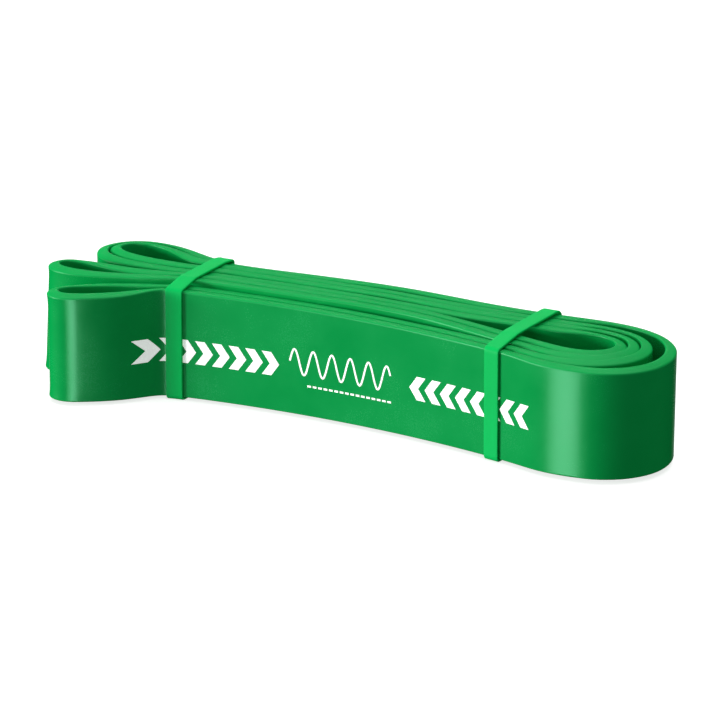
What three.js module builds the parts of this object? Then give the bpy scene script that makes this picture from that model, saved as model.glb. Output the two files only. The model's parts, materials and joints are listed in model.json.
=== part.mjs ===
// A folded resistance band: one endless flat loop of layered latex, folded twice into a bundle of
// eight upright layers, and two narrow elastic retaining bands that hold the bundle together.
// Millimetres, +Z up. The bundle lies along X, its outer printed face looks towards -Y.
// The origin is the centre of the whole object's footprint, at the height it rests on.
import * as THREE from "three";

// ---- Driving dimensions ----
const LOOP_WIDTH = 45; // height of every upright layer
const LOOP_THICKNESS = 4.5;
const LAYER_GAP = 0.4; // air between layers that lie against each other
const RETAINER_WIDTH = 7;
const RETAINER_THICKNESS = 1.2;
const RETAINER_CLEARANCE = 0.35;
const RETAINER_CORNER = 1; // inner radius of a retaining band's four corners

// The bundle is laid out in its own plan, x along it and y towards the back, and centred at the end.
const LEFT_RETAINER_X = 54.4;
const RIGHT_RETAINER_X = 202;
const BOW_RADIUS = 440; // the front of the bundle is a shallow arc
const BOW_CREST = { x: 116, y: 11.6 };

// Where the layers stand further apart: behind which layer, by how much, and over which stretch.
// A swell opens and closes again, a left parting closes and a right parting opens along the stretch.
const SWELLS = [
  { behind: 2, width: 1.6, from: 95, to: 205 },
  { behind: 5, width: 0.8, from: 90, to: 200 },
  { behind: 7, width: 1, from: 100, to: 200 },
];
const LEFT_PARTINGS = [
  { behind: 1, width: 0.7, from: 42, to: 62 },
  { behind: 2, width: 0.4, from: 42, to: 62 },
  { behind: 4, width: 1.6, from: 38, to: 64 },
  { behind: 6, width: 5, from: 38, to: 62 },
  { behind: 7, width: 1.2, from: 38, to: 64 },
];
const RIGHT_PARTINGS = [
  { behind: 4, width: 14, from: 156, to: 222 },
  { behind: 7, width: 1.2, from: 170, to: 214 },
];

// Places along the bundle where every layer is laid out, with both edges of each retaining band.
const STATIONS = [
  LEFT_RETAINER_X - RETAINER_WIDTH / 2, LEFT_RETAINER_X + RETAINER_WIDTH / 2,
  68, 82, 97, 116, 136, 156, 173, 187,
  RIGHT_RETAINER_X - RETAINER_WIDTH / 2, RIGHT_RETAINER_X + RETAINER_WIDTH / 2,
];

// How finely the middle line is followed: a new section after this turn or this distance.
const SECTION_TURN = THREE.MathUtils.degToRad(8);
const SECTION_SPACING = 8;
const FINE_SPACING = 0.5; // where a retaining band is fitted round the layers
const FINE_SAMPLES = 6000;
const CORNER_STEPS = 6;

const LATEX = { color: 0x04934a, roughness: 0.42, metalness: 0 };
const RETAINER_LATEX = { color: 0x05a94f, roughness: 0.38, metalness: 0 };

// ---- The bundle's layers, counted 1 at the front to 8 at the back ----
function ease(value, from, to) {
  return THREE.MathUtils.smoothstep(value, from, to);
}

function frontFace(x) {
  const fromCrest = x - BOW_CREST.x;
  return BOW_CREST.y - BOW_RADIUS + Math.sqrt(BOW_RADIUS ** 2 - fromCrest ** 2);
}

function gapBehind(layer, x) {
  let gap = LAYER_GAP;
  for (const swell of SWELLS) {
    if (swell.behind !== layer) continue;
    const along = THREE.MathUtils.clamp((x - swell.from) / (swell.to - swell.from), 0, 1);
    gap += swell.width * Math.sin(Math.PI * along) ** 2;
  }
  for (const parting of LEFT_PARTINGS) {
    if (parting.behind === layer) gap += parting.width * (1 - ease(x, parting.from, parting.to));
  }
  for (const parting of RIGHT_PARTINGS) {
    if (parting.behind === layer) gap += parting.width * ease(x, parting.from, parting.to);
  }
  return gap;
}

function layerMiddle(layer, x) {
  let y = frontFace(x) + LOOP_THICKNESS * (layer - 0.5);
  for (let k = 1; k < layer; k++) y += gapBehind(k, x);
  return y;
}

function rightward(layer) {
  return STATIONS.map((x) => [x, layerMiddle(layer, x)]);
}

function leftward(layer) {
  return rightward(layer).reverse();
}

// ---- The folds at the two ends: control points of the loop's middle line ----
// The front loop joins layers 2 and 1, and swings out in front of the bundle.
const FRONT_LOOP = [
  [44, 11.2], [37, 7.8], [29, 3.9], [20, -2.2], [13, -8.4], [10.6, -14],
  [13.2, -18.2], [19, -19], [26, -15.2], [32, -10.8], [37, -6.2], [42.4, 1.4], [46.2, 6.2],
];
// The middle loop joins layers 4 and 3.
const MIDDLE_LOOP = [
  [44, 22], [37, 19.6], [28, 17.8], [17, 18], [5, 18.6], [-2.6, 16.6],
  [-5.3, 11.4], [-1.6, 6.6], [7, 5], [18, 6.8], [28, 10.2], [37, 13.5], [44, 16.7],
];
// The back loop's outer turn joins layers 8 and 5.
const BACK_OUTER_LOOP = [
  [44, 49.2], [38, 51.8], [31, 54.9], [23, 57], [12.5, 56.4], [4.2, 51],
  [0.8, 42.6], [4, 34.4], [11, 29.8], [22, 28.2], [35, 28.2], [44, 28.9],
];
// Its inner turn joins layers 6 and 7, and holds a drop-shaped opening.
const BACK_INNER_LOOP = [
  [44, 33.8], [37, 33.4], [24, 33.1], [13.4, 34.8], [7.6, 38.8], [6, 43.4],
  [8.6, 48.6], [15.2, 51.7], [22.6, 51.4], [30, 48.8], [37, 45.2], [44, 42],
];
// The outermost fold at the right end joins layers 1 and 8.
const RIGHT_OUTER_FOLD = [
  [214, 2.4], [227, -1.1], [240, -1.4], [251, 0.4], [260.5, 6.6], [266, 16.4],
  [266.4, 28], [262, 39.4], [253, 48.6], [241, 53.8], [228, 55], [215, 53],
];
// The next one inside joins layers 2 and 7, and the two inside that follow its shape.
const RIGHT_SECOND_FOLD = [
  [214, 7.2], [226, 4.2], [236, 4.2], [245, 7.4], [252, 13.6], [255.8, 22],
  [255.4, 31], [250.4, 39.8], [241.6, 46], [230, 48.4], [220, 47.6], [213, 46],
];
const FOLD_PITCH = LOOP_THICKNESS + 0.6;

// Control points moved to the left of the way they run, which is into the fold.
function inset(points, distance) {
  return points.map((point, i) => {
    const before = points[Math.max(i - 1, 0)];
    const after = points[Math.min(i + 1, points.length - 1)];
    const along = new THREE.Vector2(after[0] - before[0], after[1] - before[1]).normalize();
    return [point[0] - along.y * distance, point[1] + along.x * distance];
  });
}

// ---- The middle line, once round the endless loop ----
const MIDDLE_LINE = [
  ...rightward(1),
  ...RIGHT_OUTER_FOLD,
  ...leftward(8),
  ...BACK_OUTER_LOOP,
  ...rightward(5),
  ...inset(RIGHT_SECOND_FOLD, 2 * FOLD_PITCH).reverse(),
  ...leftward(4),
  ...MIDDLE_LOOP,
  ...rightward(3),
  ...inset(RIGHT_SECOND_FOLD, FOLD_PITCH),
  ...leftward(6),
  ...BACK_INNER_LOOP,
  ...rightward(7),
  ...[...RIGHT_SECOND_FOLD].reverse(),
  ...leftward(2),
  ...FRONT_LOOP,
];

// Sections of the middle line, each a place and a direction, closer together where it bends.
function sectionsOf(controlPoints, longest) {
  const places = controlPoints.map(([x, y]) => new THREE.Vector3(x, y, 0));
  const curve = new THREE.CatmullRomCurve3(places, true, "centripetal");
  curve.arcLengthDivisions = FINE_SAMPLES;
  const spacing = curve.getLength() / FINE_SAMPLES;
  const sections = [];
  let turned = SECTION_TURN;
  let travelled = 0;
  let lastAlong = curve.getTangentAt(0);
  for (let i = 0; i < FINE_SAMPLES; i++) {
    const along = curve.getTangentAt(i / FINE_SAMPLES);
    turned += along.angleTo(lastAlong);
    travelled += spacing;
    lastAlong = along;
    if (turned < SECTION_TURN && travelled < longest) continue;
    sections.push({ place: curve.getPointAt(i / FINE_SAMPLES), along });
    turned = 0;
    travelled = 0;
  }
  return sections;
}

// One long face of the loop, offset to the right of the middle line.
function faceLine(sections, offset) {
  return sections.map(
    ({ place, along }) => new THREE.Vector2(place.x + along.y * offset, place.y - along.x * offset),
  );
}

const LOOP_BOTTOM = RETAINER_THICKNESS + RETAINER_CLEARANCE;

function loopGeometry() {
  const sections = sectionsOf(MIDDLE_LINE, SECTION_SPACING);
  const shape = new THREE.Shape(faceLine(sections, LOOP_THICKNESS / 2));
  shape.holes.push(new THREE.Path(faceLine(sections, -LOOP_THICKNESS / 2)));
  const geometry = new THREE.ExtrudeGeometry(shape, { depth: LOOP_WIDTH, bevelEnabled: false });
  return geometry.translate(0, 0, LOOP_BOTTOM);
}

// ---- The retaining bands ----
// How far the bundle reaches to the front and to the back under a retaining band.
function bundleReach(x) {
  const sections = sectionsOf(MIDDLE_LINE, FINE_SPACING);
  const faces = [faceLine(sections, LOOP_THICKNESS / 2), faceLine(sections, -LOOP_THICKNESS / 2)];
  const under = faces.flat().filter((p) => Math.abs(p.x - x) < RETAINER_WIDTH / 2 + FINE_SPACING);
  const depths = under.map((p) => p.y);
  return { front: Math.min(...depths), back: Math.max(...depths) };
}

// A rounded rectangle in the plane across the bundle: u towards the back, v upwards.
function roundedRectangle(outline, { front, back, bottom, top }, radius) {
  outline.moveTo(front + radius, bottom);
  outline.lineTo(back - radius, bottom);
  outline.absarc(back - radius, bottom + radius, radius, -Math.PI / 2, 0);
  outline.lineTo(back, top - radius);
  outline.absarc(back - radius, top - radius, radius, 0, Math.PI / 2);
  outline.lineTo(front + radius, top);
  outline.absarc(front + radius, top - radius, radius, Math.PI / 2, Math.PI);
  outline.lineTo(front, bottom + radius);
  outline.absarc(front + radius, bottom + radius, radius, Math.PI, 1.5 * Math.PI);
  return outline;
}

function retainerGeometry(x) {
  const { front, back } = bundleReach(x);
  const inside = {
    front: front - RETAINER_CLEARANCE,
    back: back + RETAINER_CLEARANCE,
    bottom: RETAINER_THICKNESS,
    top: LOOP_BOTTOM + LOOP_WIDTH + RETAINER_CLEARANCE,
  };
  const outside = {
    front: inside.front - RETAINER_THICKNESS,
    back: inside.back + RETAINER_THICKNESS,
    bottom: 0,
    top: inside.top + RETAINER_THICKNESS,
  };
  const shape = roundedRectangle(new THREE.Shape(), outside, RETAINER_CORNER + RETAINER_THICKNESS);
  shape.holes.push(roundedRectangle(new THREE.Path(), inside, RETAINER_CORNER));
  const geometry = new THREE.ExtrudeGeometry(shape, {
    depth: RETAINER_WIDTH,
    bevelEnabled: false,
    curveSegments: CORNER_STEPS,
  });
  // The profile's u and v become y and z, and its depth runs along x.
  geometry.applyMatrix4(new THREE.Matrix4().set(0, 0, 1, 0, 1, 0, 0, 0, 0, 1, 0, 0, 0, 0, 0, 1));
  return geometry.translate(x - RETAINER_WIDTH / 2, 0, 0);
}

// ---- The assembly, centred on the object's footprint ----
function piece(name, geometry, look) {
  const mesh = new THREE.Mesh(geometry, new THREE.MeshStandardMaterial(look));
  mesh.name = name;
  return mesh;
}

const resistanceBand = new THREE.Group();
resistanceBand.add(
  piece("loop_band", loopGeometry(), LATEX),
  piece("left_retaining_band", retainerGeometry(LEFT_RETAINER_X), RETAINER_LATEX),
  piece("right_retaining_band", retainerGeometry(RIGHT_RETAINER_X), RETAINER_LATEX),
);
const footprint = new THREE.Box3().setFromObject(resistanceBand).getCenter(new THREE.Vector3());
for (const mesh of resistanceBand.children) mesh.position.set(-footprint.x, -footprint.y, 0);

export default resistanceBand;
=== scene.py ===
"""Looks of a folded resistance band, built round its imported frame: the endless layered-latex loop, the
two elastic retaining bands that hold the bundle, and the white graphic printed on its front layer."""
import json
import math

import bmesh
import bpy
import numpy as np
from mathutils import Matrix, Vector


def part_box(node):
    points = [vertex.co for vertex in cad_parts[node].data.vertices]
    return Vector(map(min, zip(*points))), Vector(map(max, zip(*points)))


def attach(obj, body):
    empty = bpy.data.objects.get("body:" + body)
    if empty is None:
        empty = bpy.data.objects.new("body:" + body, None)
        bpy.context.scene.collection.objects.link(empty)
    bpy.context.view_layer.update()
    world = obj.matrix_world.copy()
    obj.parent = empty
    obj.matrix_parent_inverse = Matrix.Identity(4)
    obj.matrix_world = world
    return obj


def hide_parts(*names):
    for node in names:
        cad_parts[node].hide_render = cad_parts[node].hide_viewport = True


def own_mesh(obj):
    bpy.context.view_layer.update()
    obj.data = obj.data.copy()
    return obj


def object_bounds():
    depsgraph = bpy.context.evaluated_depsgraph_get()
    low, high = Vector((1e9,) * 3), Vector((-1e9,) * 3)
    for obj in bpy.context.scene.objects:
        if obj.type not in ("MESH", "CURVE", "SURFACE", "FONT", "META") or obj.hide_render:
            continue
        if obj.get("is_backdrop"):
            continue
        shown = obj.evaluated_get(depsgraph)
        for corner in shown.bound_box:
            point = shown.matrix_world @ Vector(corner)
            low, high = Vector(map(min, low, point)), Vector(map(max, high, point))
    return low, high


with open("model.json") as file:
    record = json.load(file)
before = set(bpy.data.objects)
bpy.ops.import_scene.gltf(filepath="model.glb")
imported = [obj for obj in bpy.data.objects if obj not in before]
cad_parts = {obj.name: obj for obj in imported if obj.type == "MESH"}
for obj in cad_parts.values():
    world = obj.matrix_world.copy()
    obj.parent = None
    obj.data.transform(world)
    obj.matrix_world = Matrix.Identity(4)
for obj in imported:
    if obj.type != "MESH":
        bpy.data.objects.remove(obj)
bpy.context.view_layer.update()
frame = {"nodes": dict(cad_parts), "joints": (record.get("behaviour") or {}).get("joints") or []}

MM = 0.001

# ---- Driving dimensions of the visual model, in metres ----
THICKNESS = 4.7 * MM
EDGE_RADIUS = 0.8 * MM
RIM_CROWN = 0.12 * MM  # how far the middle of a rim stands above its corners
RIM_RIDGE = 0.05 * MM  # depth of the ply lines along the rims
RIM_STEPS = 10
CORNER_STEPS = 5
FACE_STEPS = 14
CURVE_STEPS = 24  # points of the smooth curve through each section of the CAD loop
LINE_STEP = 0.4 * MM  # distance between the samples of the middle line
FINEST_SECTION = 0.45 * MM
COARSEST_SECTION = 3 * MM
TURN_PER_SECTION = 0.11  # radians

# How far round the middle line values are averaged, in samples of it.
LINE_SMOOTHING = 4
BEND_SMOOTHING = 3
LIFT_SMOOTHING = 24
LEAN_SMOOTHING = 8
SLOPE_SMOOTHING = 16
FLARE_SMOOTHING = 6
SECTION_SMOOTHING = 6

# How far each layer, 1 at the front to 8 at the back, stands above the lowest one, in millimetres:
# at the left retaining band, half-way, and at the right retaining band.
LEFT_LIFT = [0, 0, 2.1, 2.1, 1.6, 2.2, 2.2, 1.0]
MIDDLE_LIFT = [0, 0, 2.0, 1.9, 1.7, 1.9, 1.7, 1.8]
RIGHT_LIFT = [0, 0.4, 0.9, 1.2, 1.2, 1.2, 1.0, 0.8]
LIFT_STOPS = [0, 0.35, 0.75, 1]  # shares of the way between the bands: left, middle reached, left, right

# How the folds outside the retaining bands lean, by the layers they join, in millimetres along x:
# at the bottom edge and at the top edge of the loop.
LEANS = {
    (1, 2): (0.3, -0.3),
    (3, 4): (-1.5, 0.6),
    (1, 8): (-0.7, 0.1),
}

# Where the rubber bends, its stretched outer side grows narrower and its inner side wider,
# so that the rims slope down outwards, and the edges of tight folds flare out a little.
RIM_SLOPE = 0.32
SLOPE_RADIUS = 40 * MM  # a bend of this radius already has most of the slope
LOWER_SHARE = 0.4  # the lower rims lie on the ground, which keeps them flatter
FLARE = 0.6 * MM
FLARE_RADIUS = 9 * MM
RIM_REACH = 6 * MM  # how far down the faces both effects reach

RETAINER_THICKNESS = 0.95 * MM
RETAINER_CORNER = 0.35 * MM
RETAINER_AIR = 0.2 * MM  # between a retaining band and the outline that it is laid round
RETAINER_COLUMNS = 15  # places across a band's width where that outline is taken
RETAINER_TURNS = 420  # points round each outline
RETAINER_CORNER_STEPS = 4
RETAINER_FACE_STEPS = 6
OUTLINE_STEP = 0.1 * MM
SKIN_STEP = 0.5 * MM  # how far the material's pattern moves on with each point round a band
TRAVEL_STOPS = 12  # places along a band's slide where the layers are taken into account
SLIDE_AIR = 0.4 * MM  # left in front of and behind the layers where a slide ends
LEAST_TIGHTENING = 0.97  # a band that would keep more of its depth than this doesn't narrow


# ---- Reading the loop's middle line off the CAD node ----
def upper_outlines(node):
    """The closed outlines of the node's upper face, as arrays of points in plan."""
    shape = bmesh.new()
    shape.from_mesh(frame["nodes"][node].data)
    bmesh.ops.remove_doubles(shape, verts=shape.verts, dist=0.002 * MM)
    shape.normal_update()
    top = max(v.co.z for v in shape.verts)
    neighbours = {}
    for edge in shape.edges:
        level = [f for f in edge.link_faces if abs(f.normal.z) > 0.5]
        if len(level) != 1 or any(v.co.z < top - 0.01 * MM for v in edge.verts):
            continue
        a, b = edge.verts
        neighbours.setdefault(a, []).append(b)
        neighbours.setdefault(b, []).append(a)
    outlines = []
    while neighbours:
        here = next(iter(neighbours))
        chain = []
        while here is not None:
            chain.append((here.co.x, here.co.y))
            onward = neighbours.pop(here)
            here = next((v for v in onward if v in neighbours), None)
        outlines.append(np.array(chain))
    shape.free()
    return sorted(outlines, key=len, reverse=True)


def turned_left(vectors):
    return np.column_stack([-vectors[:, 1], vectors[:, 0]])


def unit(vectors):
    return vectors / np.linalg.norm(vectors, axis=1)[:, None]


def spaced(points, step=None, count=None):
    """The closed line through points, followed at even steps."""
    closed = np.vstack([points, points[:1]])
    reach = np.concatenate([[0], np.cumsum(np.linalg.norm(np.diff(closed, axis=0), axis=1))])
    count = count or int(reach[-1] / step)
    at = np.arange(count) * reach[-1] / count
    return np.column_stack([np.interp(at, reach, closed[:, i]) for i in range(closed.shape[1])])


def smoothed(values, reach):
    """Values round a closed line, averaged with a bell-shaped weight of that reach, in samples."""
    offsets = np.arange(-3 * reach, 3 * reach + 1)
    weights = np.exp(-0.5 * (offsets / reach) ** 2)
    weights /= weights.sum()
    return sum(w * np.roll(values, -o, axis=0) for o, w in zip(offsets, weights))


def middle_line(node):
    """The line half-way between the node's two long faces, a smooth curve through its sections."""
    one, other = upper_outlines(node)[:2]
    partner = np.array([other[np.argmin(((other - p) ** 2).sum(1))] for p in one])
    place = (one + partner) / 2
    along = unit(turned_left(partner - one))
    onward = np.roll(place, -1, axis=0) - np.roll(place, 1, axis=0)
    along *= np.sign((along * onward).sum(1))[:, None]
    next_place, next_along = np.roll(place, -1, axis=0), np.roll(along, -1, axis=0)
    chord = np.linalg.norm(next_place - place, axis=1)[:, None]
    pieces = []
    for t in np.linspace(0, 1, CURVE_STEPS, endpoint=False):
        pieces.append(
            (2 * t ** 3 - 3 * t ** 2 + 1) * place + (t ** 3 - 2 * t ** 2 + t) * chord * along
            + (3 * t ** 2 - 2 * t ** 3) * next_place + (t ** 3 - t ** 2) * chord * next_along
        )
    curve = np.stack(pieces, axis=1).reshape(-1, 2)
    return spaced(smoothed(spaced(curve, LINE_STEP), LINE_SMOOTHING), LINE_STEP)


def tangents_of(points):
    return unit(np.roll(points, -1, axis=0) - np.roll(points, 1, axis=0))


def bend_of(points):
    """How sharply the line turns at each sample, in radians per metre, with left turns positive."""
    along = smoothed(tangents_of(points), BEND_SMOOTHING)
    change = (np.roll(along, -1, axis=0) - np.roll(along, 1, axis=0)) / (2 * LINE_STEP)
    return (change * turned_left(along)).sum(1)


# ---- The layers of the bundle ----
line = middle_line("loop_band")
loop_low, loop_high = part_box("loop_band")
bottom = loop_low.z
width = loop_high.z - loop_low.z
left_x = sum(corner.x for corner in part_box("left_retaining_band")) / 2
right_x = sum(corner.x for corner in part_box("right_retaining_band")) / 2


def ease(values):
    """Shares from 0 to 1 that start and end gently."""
    clipped = np.clip(values, 0, 1)
    return clipped * clipped * (3 - 2 * clipped)


def runs_and_turns():
    """Stretches of the middle line: {layer: its samples between the bands}, {layers: a fold's samples}."""
    inside = (line[:, 0] > left_x) & (line[:, 0] < right_x)
    starts = np.flatnonzero(inside & ~np.roll(inside, 1))
    stretches = []
    for start in starts:
        length = int(np.argmin(np.roll(inside, -start)))
        stretches.append((np.arange(start, start + length)) % len(line))

    def depth(samples):
        part = line[samples]
        return part[np.argmin(abs(part[:, 0])), 1]

    order = sorted(range(len(stretches)), key=lambda i: depth(stretches[i]))
    number = {i: order.index(i) + 1 for i in range(len(stretches))}
    runs = {number[i]: samples for i, samples in enumerate(stretches)}
    turns = {}
    for i, samples in enumerate(stretches):
        j = (i + 1) % len(stretches)
        length = (stretches[j][0] - samples[-1] - 1) % len(line)
        turns[tuple(sorted((number[i], number[j])))] = (samples[-1] + 1 + np.arange(length)) % len(line)
    return runs, turns


runs, turns = runs_and_turns()


def lifts():
    """How high each sample of the middle line stands above the lowest layer."""
    known = np.full(len(line), np.nan)
    for layer, samples in runs.items():
        way = (line[samples, 0] - left_x) / (right_x - left_x)
        left, middle, right = (rises[layer - 1] for rises in (LEFT_LIFT, MIDDLE_LIFT, RIGHT_LIFT))
        heights = [left, middle, middle, right]
        known[samples] = np.interp(way, LIFT_STOPS, heights)
    at = np.flatnonzero(~np.isnan(known))
    everywhere = np.interp(np.arange(len(line)), at, known[at], period=len(line))
    return smoothed(everywhere, LIFT_SMOOTHING) * MM


def leans():
    """How far the bottom edge and the top edge stand away from the middle line, along x."""
    shift = np.zeros((len(line), 2))
    for layers, edges in LEANS.items():
        samples = turns[layers]
        x = line[samples, 0]
        outside = np.where(x < 0, left_x - x, x - right_x)
        share = ease(outside / outside.max()) ** 2
        shift[samples] = share[:, None] * np.array(edges) * MM
    return smoothed(shift, LEAN_SMOOTHING)


lift = lifts()
lean = leans()
bend = bend_of(line)
slope = smoothed(RIM_SLOPE * np.tanh(bend * SLOPE_RADIUS), SLOPE_SMOOTHING)
flare = smoothed(FLARE * np.tanh(bend * FLARE_RADIUS) ** 3, FLARE_SMOOTHING)


# ---- Meshes from grids of points ----
def grid_piece(name, rows, vectors=None):
    """A smooth mesh over rows of points, each row closed on itself and the last row joined to the first."""
    count, across = rows.shape[:2]
    faces = []
    for i in range(count):
        after = (i + 1) % count
        for j in range(across):
            beside = (j + 1) % across
            faces.append((i * across + j, after * across + j, after * across + beside, i * across + beside))
    mesh = bpy.data.meshes.new(name)
    mesh.from_pydata(rows.reshape(-1, 3).tolist(), [], faces)
    for label, values in (vectors or {}).items():
        attribute = mesh.attributes.new(label, "FLOAT_VECTOR", "POINT")
        attribute.data.foreach_set("vector", values.astype(np.float32).ravel())
    return finished_piece(name, mesh)


def finished_piece(name, mesh, smooth=True):
    shape = bmesh.new()
    shape.from_mesh(mesh)
    bmesh.ops.recalc_face_normals(shape, faces=shape.faces)
    shape.to_mesh(mesh)
    shape.free()
    mesh.polygons.foreach_set("use_smooth", [smooth] * len(mesh.polygons))
    mesh.update()
    piece = bpy.data.objects.new(name, mesh)
    bpy.context.scene.collection.objects.link(piece)
    return piece


# ---- The loop ----
def loop_profile():
    """Points round the loop's cross-section, as (across, up) from its centre."""
    half, high = THICKNESS / 2, width / 2 - RIM_CROWN
    flat, straight = half - EDGE_RADIUS, high - EDGE_RADIUS
    points = [(half, -straight * math.cos(math.pi * i / FACE_STEPS)) for i in range(FACE_STEPS + 1)]
    corner = []
    for i in range(1, CORNER_STEPS):
        turn = math.pi / 2 * i / CORNER_STEPS
        corner.append((flat + EDGE_RADIUS * math.cos(turn), straight + EDGE_RADIUS * math.sin(turn)))
    points += corner
    for i in range(RIM_STEPS + 1):
        share = 1 - 2 * i / RIM_STEPS
        ridge = RIM_RIDGE * (i % 2) * (1 - abs(share))
        points.append((flat * share, high + RIM_CROWN * (1 - share * share) - ridge))
    points += [(-across, up) for across, up in reversed(corner)]
    return np.vstack([points, -np.array(points)])


def section_places():
    """Positions along the middle line, closer together where it bends."""
    spacing = np.clip(TURN_PER_SECTION / np.maximum(abs(bend), 1), FINEST_SECTION, COARSEST_SECTION)
    spacing = smoothed(spacing, SECTION_SMOOTHING)
    passed = np.concatenate([[0], np.cumsum(LINE_STEP / spacing)])
    count = int(passed[-1])
    return np.interp(np.arange(count) * passed[-1] / count, passed, np.arange(len(line) + 1))


def read_at(values, places):
    """Values round the middle line, read at places between its samples."""
    closed = np.concatenate([values, values[:1]]).reshape(len(values) + 1, -1)
    samples = np.arange(len(closed))
    return np.column_stack([np.interp(places, samples, closed[:, i]) for i in range(closed.shape[1])])


def loop_points(places, across, up):
    """Points of the loop's skin: places along the middle line, by points of its cross-section."""
    centre = read_at(line, places)
    outward = unit(read_at(turned_left(tangents_of(line)), places))
    raised = read_at(lift, places)
    low, high = read_at(lean, places).T[:, :, None]
    share = up / width + 0.5
    near_rim = np.clip((abs(up) - width / 2) / RIM_REACH + 1, 0, 1)
    aside = across - read_at(flare, places) * near_rim ** 2
    rise = np.where(up > 0, 1, -LOWER_SHARE) * near_rim * across * read_at(slope, places)
    points = np.zeros((len(places), len(across), 3))
    points[:, :, 0] = centre[:, :1] + outward[:, :1] * aside + low * (1 - share) + high * share
    points[:, :, 1] = centre[:, 1:] + outward[:, 1:] * aside
    points[:, :, 2] = bottom + width / 2 + raised + up + rise
    return points


def build_loop():
    places = section_places()
    across, up = loop_profile().T
    rows = loop_points(places, across, up)
    skin = np.zeros_like(rows)
    skin[:, :, 0] = (places * LINE_STEP)[:, None]
    skin[:, :, 1] = across
    skin[:, :, 2] = up
    return grid_piece("latex_loop", rows, {"skin": skin})


# ---- The retaining bands ----
def convex_hull(points):
    """The convex outline of points in a plane, anticlockwise."""
    ordered = sorted(map(tuple, points))

    def chain(sequence):
        kept = []
        for p in sequence:
            while len(kept) > 1:
                (ax, ay), (bx, by) = kept[-2], kept[-1]
                if (bx - ax) * (p[1] - ay) - (by - ay) * (p[0] - ax) > 0:
                    break
                kept.pop()
            kept.append(p)
        return kept[:-1]

    return np.array(chain(ordered) + chain(reversed(ordered)))


def layers_at(x):
    """The (y, z) points of the layers' skins where the upright plane at x cuts them."""
    after = np.roll(line, -1, axis=0)
    cut = np.flatnonzero((line[:, 0] - x) * (after[:, 0] - x) <= 0)
    skins = loop_points(cut.astype(float), *loop_profile().T)
    along = tangents_of(line)[cut]
    drift = (along[:, 1] / along[:, 0])[:, None]
    depth = skins[:, :, 1] + (x - skins[:, :, 0]) * drift
    return np.column_stack([depth.ravel(), skins[:, :, 2].ravel()])


def layers_met(x, travel, share):
    """The layers that a retaining band meets at x after a share of its slide, carried back to its start."""
    return layers_at(x + share * travel.x) - [share * travel.y, 0]


def tightening(x_places, travel):
    """The share of its depth that a band keeps where its slide ends, and the y that it draws in towards."""
    rests = [layers_at(x)[:, 0] for x in x_places]
    ends = [layers_met(x, travel, 1)[:, 0] for x in x_places]
    rest_front, rest_back = np.array([(rest.min(), rest.max()) for rest in rests]).T
    end_front, end_back = np.array([(end.min() - SLIDE_AIR, end.max() + SLIDE_AIR) for end in ends]).T
    keep = ((end_back[:, None] - end_front) / (rest_back[:, None] - rest_front)).max()
    if keep > LEAST_TIGHTENING:
        return 1, 0
    return float(keep), float((end_front - keep * rest_front).min() / (1 - keep))


def bundle_outline(x, travel, keep, anchor):
    """The (y, z) outline round the layers at x, with room for all that the band meets along its slide."""
    points = []
    for share in np.linspace(0, 1, TRAVEL_STOPS):
        layers = layers_met(x, travel, share)
        layers[:, 0] = anchor + (layers[:, 0] - anchor) / (1 - share * (1 - keep))
        points.append(layers)
    outline = spaced(convex_hull(np.vstack(points)), step=OUTLINE_STEP)
    start = int(np.argmin(outline[:, 0] + outline[:, 1]))
    return spaced(np.roll(outline, -start, axis=0), count=RETAINER_TURNS)


def retainer_profile(half_width):
    """Points round the retaining band's cross-section, as (along x, outward)."""
    corners = [(1, 1, 0), (-1, 1, 1), (-1, 0, 2), (1, 0, 3)]
    points = []
    for side, outer, quarter in corners:
        x = side * (half_width - RETAINER_CORNER)
        out = RETAINER_THICKNESS - RETAINER_CORNER if outer else RETAINER_CORNER
        for i in range(RETAINER_CORNER_STEPS + 1):
            turn = math.pi / 2 * (quarter + i / RETAINER_CORNER_STEPS)
            points.append((x + RETAINER_CORNER * math.cos(turn), out + RETAINER_CORNER * math.sin(turn)))
        if quarter % 2 == 0:
            reach = 2 * (half_width - RETAINER_CORNER)
            level = points[-1][1]
            steps = range(1, RETAINER_FACE_STEPS)
            points.extend((x - side * reach * i / RETAINER_FACE_STEPS, level) for i in steps)
    return np.array(points)


def build_retainer(name, node, body):
    """An elastic band round the bundle, which narrows if it slides to where the bundle is thinner."""
    low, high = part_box(node)
    middle = (low.x + high.x) / 2
    slide = next(joint for joint in frame["joints"] if joint["child"] == body)
    travel = Vector(slide["axis"]) * slide["range_m"][1]
    x_places = np.linspace(low.x, high.x, RETAINER_COLUMNS)
    keep, anchor = tightening(x_places, travel)
    outlines = np.array([bundle_outline(x, travel, keep, anchor) for x in x_places])
    along, out = retainer_profile((high.x - low.x) / 2).T
    rows = np.zeros((RETAINER_TURNS, len(along), 3))
    skin = np.zeros_like(rows)
    for j in range(len(along)):
        x = middle + along[j]
        index = np.interp(x, x_places, np.arange(RETAINER_COLUMNS))
        i = min(int(index), RETAINER_COLUMNS - 2)
        outline = outlines[i] * (i + 1 - index) + outlines[i + 1] * (index - i)
        outward = -turned_left(tangents_of(smoothed(outline, 1)))
        rows[:, j, 0] = x
        rows[:, j, 1:] = outline + outward * (RETAINER_AIR + out[j])
        skin[:, j, 0] = np.arange(RETAINER_TURNS) * SKIN_STEP
        skin[:, j, 1] = along[j]
        skin[:, j, 2] = out[j]
    piece = grid_piece(name, rows, {"skin": skin})
    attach(piece, body)
    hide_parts(node)
    if keep < 1:
        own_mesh(piece)
    return piece


# ---- Materials ----
def colour(red, green, blue):
    """A colour from its screen values, 0 to 255, as the renderer's light amounts."""

    def linear(value):
        share = value / 255
        return share / 12.92 if share <= 0.04045 else ((share + 0.055) / 1.055) ** 2.4

    return (linear(red), linear(green), linear(blue), 1)


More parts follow.
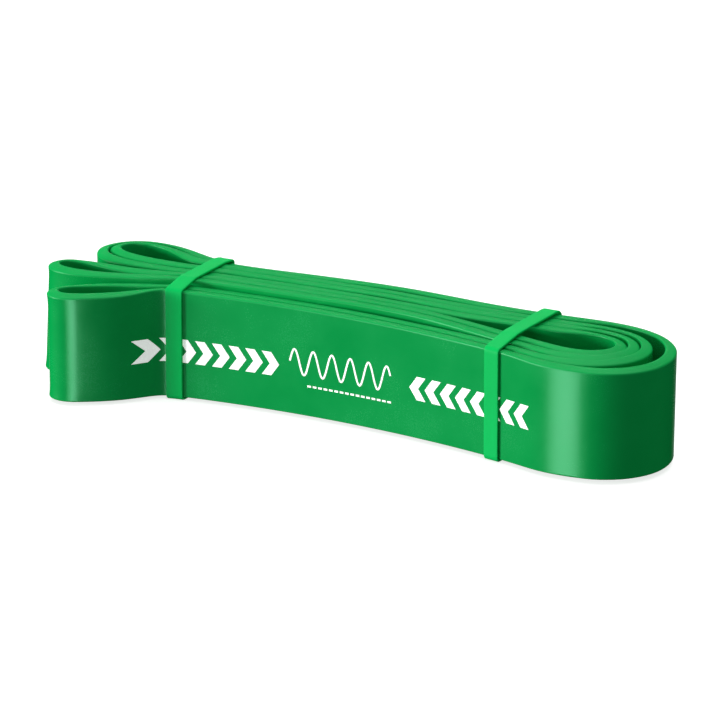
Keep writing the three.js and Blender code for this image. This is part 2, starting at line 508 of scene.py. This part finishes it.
class Nodes:
    """A node tree, with short calls for the nodes used here."""

    def __init__(self, tree):
        self.tree = tree
        self.shader = tree.nodes.get("Principled BSDF")

    def add(self, kind, inputs=None, **settings):
        node = self.tree.nodes.new(kind)
        for key, value in settings.items():
            setattr(node, key, value)
        for key, value in (inputs or {}).items():
            self.feed(node.inputs[key], value)
        return node

    def feed(self, socket, value):
        if isinstance(value, bpy.types.NodeSocket):
            self.tree.links.new(value, socket)
        else:
            socket.default_value = value

    def math(self, operation, *values):
        node = self.add("ShaderNodeMath", operation=operation)
        for i, value in enumerate(values):
            self.feed(node.inputs[i], value)
        return node.outputs[0]

    def noise(self, place, scale, detail=3, roughness=0.5):
        node = self.add("ShaderNodeTexNoise", {"Vector": place, "Scale": scale, "Detail": detail})
        node.inputs["Roughness"].default_value = roughness
        return node.outputs["Fac"]

    def stretched(self, place, factors):
        node = self.add("ShaderNodeVectorMath", {0: place, 1: factors}, operation="MULTIPLY")
        return node.outputs[0]

    def between(self, value, low, high, to_low, to_high):
        inputs = {"Value": value, "From Min": low, "From Max": high, "To Min": to_low, "To Max": to_high}
        return self.add("ShaderNodeMapRange", inputs).outputs[0]

    def mixed(self, share, first, second):
        node = self.add("ShaderNodeMixRGB")
        self.feed(node.inputs["Fac"], share)
        self.feed(node.inputs["Color1"], first)
        self.feed(node.inputs["Color2"], second)
        return node.outputs["Color"]

    def bump(self, height, distance, strength=1.0, under=None):
        node = self.add("ShaderNodeBump", {"Height": height, "Distance": distance, "Strength": strength})
        if under is not None:
            self.feed(node.inputs["Normal"], under)
        return node.outputs[0]


def new_material(name):
    """A fresh material and its nodes."""
    material = bpy.data.materials.new(name)
    material.use_nodes = True
    return material, Nodes(material.node_tree)


SHEEN_TINT = (0.4, 1, 0.7, 1)
RIM_DULLNESS = 0.25  # added to the roughness of the rims
RIM_SHINE = 0.5  # share of the faces' shine that the rims keep
RIM_FADE = 0.6 * MM
MOTTLE_SCALE = 38
GRAIN_SCALE = 2400
PLY_SCALE = (25, 2600, 0)  # along the band, through its thickness, up its face
STREAK_SCALE = (12, 0, 420)


def latex(name, base, deep, rim_plies_and_painted_light, rim_from, roughness, shine=0.5):
    """Satin moulded latex: soft mottling, a fine powdery grain, and streaks of plies along the rims, in a
    lighter colour that is partly the plies' own tone and partly painted light from above.
    """
    material, n = new_material(name)
    place = n.add("ShaderNodeTexCoord").outputs["Object"]
    skin = n.add("ShaderNodeAttribute", attribute_name="skin", attribute_type="GEOMETRY").outputs["Vector"]
    parts = n.add("ShaderNodeSeparateXYZ", {"Vector": skin})
    on_rim = n.between(n.math("ABSOLUTE", parts.outputs["Z"]), rim_from, rim_from + RIM_FADE, 0, 1)

    mottle = n.noise(place, MOTTLE_SCALE, 4, 0.55)
    grain = n.noise(place, GRAIN_SCALE, 2)
    plies = n.noise(n.stretched(skin, PLY_SCALE), 1, 3)
    streaks = n.noise(n.stretched(skin, STREAK_SCALE), 1, 3)

    body = n.mixed(n.between(mottle, 0.3, 0.7, 0, 1), deep, base)
    # the rims' ply streaks take a lighter colour: partly the plies' own tone, partly painted light from
    # above
    ply_share = n.math("MULTIPLY", on_rim, n.between(plies, 0.25, 0.75, 0.35, 1))
    n.feed(n.shader.inputs["Base Color"], n.mixed(ply_share, body, rim_plies_and_painted_light))

    wear = n.math("ADD", n.between(mottle, 0.3, 0.7, -0.04, 0.04), n.between(grain, 0.3, 0.7, -0.03, 0.03))
    duller = n.math("ADD", wear, n.math("MULTIPLY", on_rim, RIM_DULLNESS))
    n.feed(n.shader.inputs["Roughness"], n.math("ADD", duller, roughness))
    n.shader.inputs["Specular Tint"].default_value = SHEEN_TINT
    n.feed(n.shader.inputs["Specular IOR Level"], n.between(on_rim, 0, 1, shine, RIM_SHINE * shine))

    soft = n.bump(streaks, 0.05 * MM, 0.5)
    rough = n.bump(grain, 0.012 * MM, 0.6, under=soft)
    ridged = n.bump(n.math("MULTIPLY", plies, on_rim), 0.12 * MM, 0.8, under=rough)
    n.feed(n.shader.inputs["Normal"], ridged)
    return material


def loop_latex():
    deep, base = colour(0, 150, 68), colour(0, 157, 73)
    # a little lighter than the faces: ply streaks, partly painted light on the rims
    rim_plies_and_painted_light = colour(0, 163, 75)
    return latex("loop_latex", base, deep, rim_plies_and_painted_light, width / 2 - 1.0 * MM, 0.24)


def retainer_latex():
    deep, base = colour(0, 182, 84), colour(0, 190, 90)
    return latex("retainer_latex", base, deep, colour(0, 196, 94), RETAINER_THICKNESS - 0.1 * MM, 0.48, 0.12)


INK_PAINTED_GLOW = 0.3  # painted glow, so that the screen ink still looks white where the rubber is in shade


def print_ink():
    """Matt white screen ink that has cracked a little where the rubber flexes, with a painted glow that
    keeps it white where the rubber is in shade.
    """
    material, n = new_material("print_ink")
    place = n.add("ShaderNodeTexCoord").outputs["Object"]
    speckle = n.noise(place, 900, 4, 0.6)
    cloud = n.noise(place, 60, 3)
    white = n.mixed(n.between(cloud, 0.3, 0.7, 0, 1), colour(244, 250, 246), colour(252, 254, 252))
    thin = n.between(speckle, 0.28, 0.36, 0.35, 0)
    n.feed(n.shader.inputs["Base Color"], n.mixed(thin, white, colour(150, 205, 172)))
    n.feed(n.shader.inputs["Roughness"], n.between(cloud, 0.3, 0.7, 0.5, 0.62))
    n.feed(n.shader.inputs["Normal"], n.bump(speckle, 0.02 * MM, 0.5))
    # painted glow: the ink emits light of its own, so it stays white where the rubber is in shade
    n.shader.inputs["Emission Color"].default_value = (1, 1, 1, 1)
    n.shader.inputs["Emission Strength"].default_value = INK_PAINTED_GLOW
    return material


def pale_floor():
    material, n = new_material("pale_floor")
    place = n.add("ShaderNodeTexCoord").outputs["Object"]
    cloud = n.noise(place, 3, 2)
    n.feed(n.shader.inputs["Base Color"], n.mixed(cloud, (0.48, 0.48, 0.48, 1), (0.52, 0.52, 0.52, 1)))
    n.shader.inputs["Emission Color"].default_value = (1, 1, 1, 1)
    n.shader.inputs["Emission Strength"].default_value = 0.75
    n.shader.inputs["Roughness"].default_value = 0.9
    n.shader.inputs["Specular IOR Level"].default_value = 0
    return material


# ---- The printed graphic: rows of plain chevrons on both sides of a thin wave with a dashed line below ----
INK_THICKNESS = 0.05 * MM
INK_EMBED = 0.02 * MM
INK_STEP = 0.7 * MM
CHEVRON_HEIGHT = 9.8 * MM
CHEVRON_STROKE = 4.2 * MM  # measured along the band
CHEVRON_REACH = 3.6 * MM  # how far a chevron's point stands out
CHEVRON_PITCH = 7.4 * MM
WAVE_HEIGHT = 10.5 * MM
WAVE_LENGTH = 8.6 * MM
WAVE_STROKE = 0.8 * MM
DASH_PITCH = 2.5 * MM
DASH_LENGTH = 1.7 * MM
DASH_HEIGHT = 0.8 * MM

# Where the marks start and end along the band, from the retaining band beside them, and their heights
# above the loop's bottom edge: chevrons by their foot, the wave by its middle, dashes by their lower side.
LEFT_CHEVRONS = (-13.5 * MM, 46 * MM, 15 * MM)
RIGHT_CHEVRONS = (-37 * MM, 20 * MM, 16.3 * MM)
WAVE_SPAN = (51 * MM, 98 * MM, 22.5 * MM)
DASHES_SPAN = (59 * MM, 98 * MM, 12.5 * MM)
PRINTED_REACH = 40 * MM  # how far past the retaining bands the face under the print is followed


def front_face():
    """Layer 1's outer face from left to right: the lower and the upper end of each section of the loop."""
    reach = int(PRINTED_REACH / LINE_STEP)
    start = runs[1][0] - reach
    places = section_places()
    passed = (places - start) % len(line)
    chosen = passed < len(runs[1]) + 2 * reach
    places = places[chosen][np.argsort(passed[chosen])]
    half_height = width / 2 - RIM_REACH
    sides = [
        loop_points(places, np.full(2, side * THICKNESS / 2), np.array([-half_height, half_height]))
        for side in (1, -1)
    ]
    face = min(sides, key=lambda points: points[:, 0, 1].mean())
    return face if face[0, 0, 0] < face[-1, 0, 0] else face[::-1]


front = front_face()


def on_front(x, up, out):
    """The point of layer 1's outer face at a place along x and a height, standing out from it."""
    places = front[:, :, 0].mean(axis=1)
    i = min(max(int(np.searchsorted(places, x)) - 1, 0), len(front) - 2)
    onward = (x - places[i]) / (places[i + 1] - places[i])
    rise = up / (width - 2 * RIM_REACH) + 0.5
    low, high = front[i] * (1 - onward) + front[i + 1] * onward
    run = front[i + 1].mean(axis=0) - front[i].mean(axis=0)
    facing = np.array([run[1], -run[0], 0]) / math.hypot(run[0], run[1])
    return tuple(low * (1 - rise) + high * rise + facing * out)


class Ink:
    """Thin marks laid on layer 1's outer face, gathered into one mesh of closed bodies."""

    def __init__(self):
        self.points = []
        self.faces = []

    def mark(self, one_side, other_side, columns):
        """A mark between two lines of (x, up) points, as a thin closed sheet that follows the rubber."""
        share = np.linspace(0, 1, columns)[None, :, None]
        places = one_side[:, None] * (1 - share) + other_side[:, None] * share
        rows = len(places)
        start = len(self.points)
        for out in (INK_THICKNESS, -INK_EMBED):
            self.points += [on_front(x, up, out) for x, up in places.reshape(-1, 2)]

        def corner(i, j, under):
            return start + (under * rows + i) * columns + j

        for i in range(rows - 1):
            for j in range(columns - 1):
                for under in (0, 1):
                    cell = ((i, j), (i + 1, j), (i + 1, j + 1), (i, j + 1))
                    self.faces.append([corner(*place, under) for place in cell])
        rim_plies_and_painted_light = [(i, 0) for i in range(rows)]
        rim_plies_and_painted_light += [(rows - 1, j) for j in range(1, columns)]
        rim_plies_and_painted_light += [(i, columns - 1) for i in reversed(range(rows - 1))]
        rim_plies_and_painted_light += [(0, j) for j in reversed(range(1, columns - 1))]
        for here, onward in zip(rim_plies_and_painted_light, rim_plies_and_painted_light[1:] + rim_plies_and_painted_light[:1]):
            self.faces.append([corner(*here, 0), corner(*here, 1), corner(*onward, 1), corner(*onward, 0)])

    def chevron(self, x, low, direction):
        """A broad chevron standing on a height, its point turned along the band in a direction."""
        share = np.linspace(0, 1, 15)
        bent = x + direction * CHEVRON_REACH * (1 - abs(2 * share - 1))
        edge = np.column_stack([bent, low + CHEVRON_HEIGHT * share])
        self.mark(edge, edge + (CHEVRON_STROKE, 0), 8)

    def line(self, points, thickness):
        """An open line of even thickness through (x, up) points."""
        side = turned_left(unit(np.gradient(points, axis=0))) * thickness / 2
        self.mark(points - side, points + side, 2)

    def piece(self, name):
        mesh = bpy.data.meshes.new(name)
        mesh.from_pydata(self.points, [], self.faces)
        return finished_piece(name, mesh, smooth=False)


def chevrons(ink, x_from, x_to, low, direction):
    for x in np.arange(x_from, x_to - CHEVRON_STROKE, CHEVRON_PITCH):
        ink.chevron(x, low, direction)


def wave(ink, x_from, x_to, middle):
    xs = np.arange(x_from, x_to, INK_STEP / 2)
    ups = middle + WAVE_HEIGHT / 2 * np.sin((xs - x_from) * 2 * math.pi / WAVE_LENGTH)
    ink.line(np.column_stack([xs, ups]), WAVE_STROKE)


def dashes(ink, x_from, x_to, low):
    for x in np.arange(x_from, x_to, DASH_PITCH):
        edge = np.column_stack([np.linspace(x, x + DASH_LENGTH, 4), np.full(4, low)])
        ink.mark(edge, edge + (0, DASH_HEIGHT), 2)


def build_print():
    def placed(span, beside):
        return beside + span[0], beside + span[1], span[2] - width / 2

    ink = Ink()
    chevrons(ink, *placed(LEFT_CHEVRONS, left_x), 1)
    chevrons(ink, *placed(RIGHT_CHEVRONS, right_x), -1)
    wave(ink, *placed(WAVE_SPAN, left_x))
    dashes(ink, *placed(DASHES_SPAN, left_x))
    piece = ink.piece("printed_graphic")
    piece.data.materials.append(print_ink())
    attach(piece, "bundle")


# ---- Building everything ----
loop = build_loop()
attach(loop, "bundle")
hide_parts("loop_band")
loop.data.materials.append(loop_latex())

retainer_material = retainer_latex()
for side in ("left", "right"):
    band = build_retainer(f"{side}_elastic_band", f"{side}_retaining_band", f"{side}_retainer")
    band.data.materials.append(retainer_material)

build_print()


# ---- Studio ----
BACKDROP_MIRRORED = 0.4
BACKDROP_DIRECTION = (-0.48, 0.85, -0.21)
BACKDROP_CONE = (0.87, 0.97)  # cosines of its outer and inner edge
CEILING_MIRRORED = 0.35
MIRRORED_TINT = (0.7, 1, 0.82, 1)
FILL_BELOW = 0.24
FILL_ABOVE = 0.4
STRIP_PLACE = Vector((-0.048, -0.314, -0.03))
STRIP_POWER = 1.45
STRIP_FADE = 0.6  # share of its width over which it brightens
FLOOR_SIZE = 8
CAMERA_AZIMUTH = math.radians(29.3)
CAMERA_ELEVATION = math.radians(18.3)
CAMERA_DISTANCE = 2.8
CAMERA_LENS = 349
CAMERA_SENSOR = 36
AIM_OFFSET = Vector((-0.7, 5.9, 0.3)) * MM  # from the middle of the loop


def floor():
    bpy.ops.mesh.primitive_plane_add(size=FLOOR_SIZE, location=(0, 0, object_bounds()[0].z))
    plane = bpy.context.object
    plane.name = "floor"
    plane.data.materials.append(pale_floor())
    plane.visible_glossy = False
    plane.visible_diffuse = False
    plane.visible_shadow = False
    plane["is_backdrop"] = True


def lamp(name, place, target, size_x, size_y, power):
    light = bpy.data.lights.new(name, "AREA")
    light.shape = "RECTANGLE"
    light.size, light.size_y = size_x, size_y
    light.energy = power
    holder = bpy.data.objects.new(name, light)
    holder.location = place
    holder.rotation_euler = (Vector(target) - Vector(place)).to_track_quat("-Z", "Y").to_euler()
    bpy.context.scene.collection.objects.link(holder)
    return holder


def front_strip():
    """An upright lamp seen only in mirrored light, brightest at its right side and fading to its left."""
    holder = lamp("front_strip", STRIP_PLACE, STRIP_PLACE + Vector((0, 1, 0)), 0.155, 0.4, STRIP_POWER)
    holder.visible_diffuse = False
    holder.visible_camera = False
    light = holder.data
    light.use_nodes = True
    n = Nodes(light.node_tree)
    across = n.add("ShaderNodeNewGeometry").outputs["Parametric"]
    share = n.add("ShaderNodeSeparateXYZ", {"Vector": across}).outputs["X"]
    n.feed(n.tree.nodes["Emission"].inputs["Strength"], n.between(share, 0, STRIP_FADE, 0, 1))


def surroundings():
    """White for the camera, a soft fill for matt light, a dark room with a pale back for mirrored light."""
    world = bpy.data.worlds.new("studio")
    bpy.context.scene.world = world
    world.use_nodes = True
    world.cycles.sampling_method = "NONE"  # so that each kind of ray sees its own surroundings
    n = Nodes(world.node_tree)
    direction = n.add("ShaderNodeTexCoord").outputs["Generated"]
    axes = n.add("ShaderNodeSeparateXYZ", {"Vector": direction}).outputs
    facing = n.add("ShaderNodeVectorMath", {0: direction, 1: BACKDROP_DIRECTION}, operation="DOT_PRODUCT")
    backdrop = n.between(facing.outputs["Value"], *BACKDROP_CONE, 0, BACKDROP_MIRRORED)
    ceiling = n.between(axes["Z"], 0.6, 0.9, 0, CEILING_MIRRORED)
    mirrored = n.math("ADD", backdrop, ceiling)
    matt = n.between(axes["Z"], -0.6, 0.6, FILL_BELOW, FILL_ABOVE)
    rays = n.add("ShaderNodeLightPath").outputs
    glossy = n.math("MULTIPLY", mirrored, rays["Is Glossy Ray"])
    diffuse = n.math("MULTIPLY", matt, n.math("SUBTRACT", 1, rays["Is Glossy Ray"]))
    unseen = n.math("SUBTRACT", 1, rays["Is Camera Ray"])
    light = n.math("MULTIPLY", n.math("ADD", glossy, diffuse), unseen)
    n.feed(n.tree.nodes["Background"].inputs["Strength"], n.math("ADD", light, rays["Is Camera Ray"]))
    tint = n.mixed(rays["Is Glossy Ray"], (1, 1, 1, 1), MIRRORED_TINT)
    n.feed(n.tree.nodes["Background"].inputs["Color"], tint)


def camera():
    """A long lens, from the right of the front and a little above."""
    aim = (loop_low + loop_high) / 2 + AIM_OFFSET
    back = Vector((
        math.sin(CAMERA_AZIMUTH) * math.cos(CAMERA_ELEVATION),
        -math.cos(CAMERA_AZIMUTH) * math.cos(CAMERA_ELEVATION),
        math.sin(CAMERA_ELEVATION),
    ))
    data = bpy.data.cameras.new("camera")
    data.lens = CAMERA_LENS
    data.sensor_width = CAMERA_SENSOR
    data.clip_end = 20
    holder = bpy.data.objects.new("camera", data)
    holder.location = aim + back * CAMERA_DISTANCE
    holder.rotation_euler = (-back).to_track_quat("-Z", "Y").to_euler()
    bpy.context.scene.collection.objects.link(holder)
    bpy.context.scene.camera = holder


floor()
surroundings()
lamp("overhead", (0, 0.25, 1.5), (0, 0, 0), 1.6, 1.4, 17)
lamp("rear", (-0.95, 1.7, 0.8), (0, 0, 0.02), 0.9, 0.9, 26).visible_glossy = False
lamp("left_key", (-1.6, -1.25, 0.2), (0, 0, 0.02), 0.9, 0.4, 46)
front_strip()
camera()
bpy.context.scene.view_settings.view_transform = "Standard"
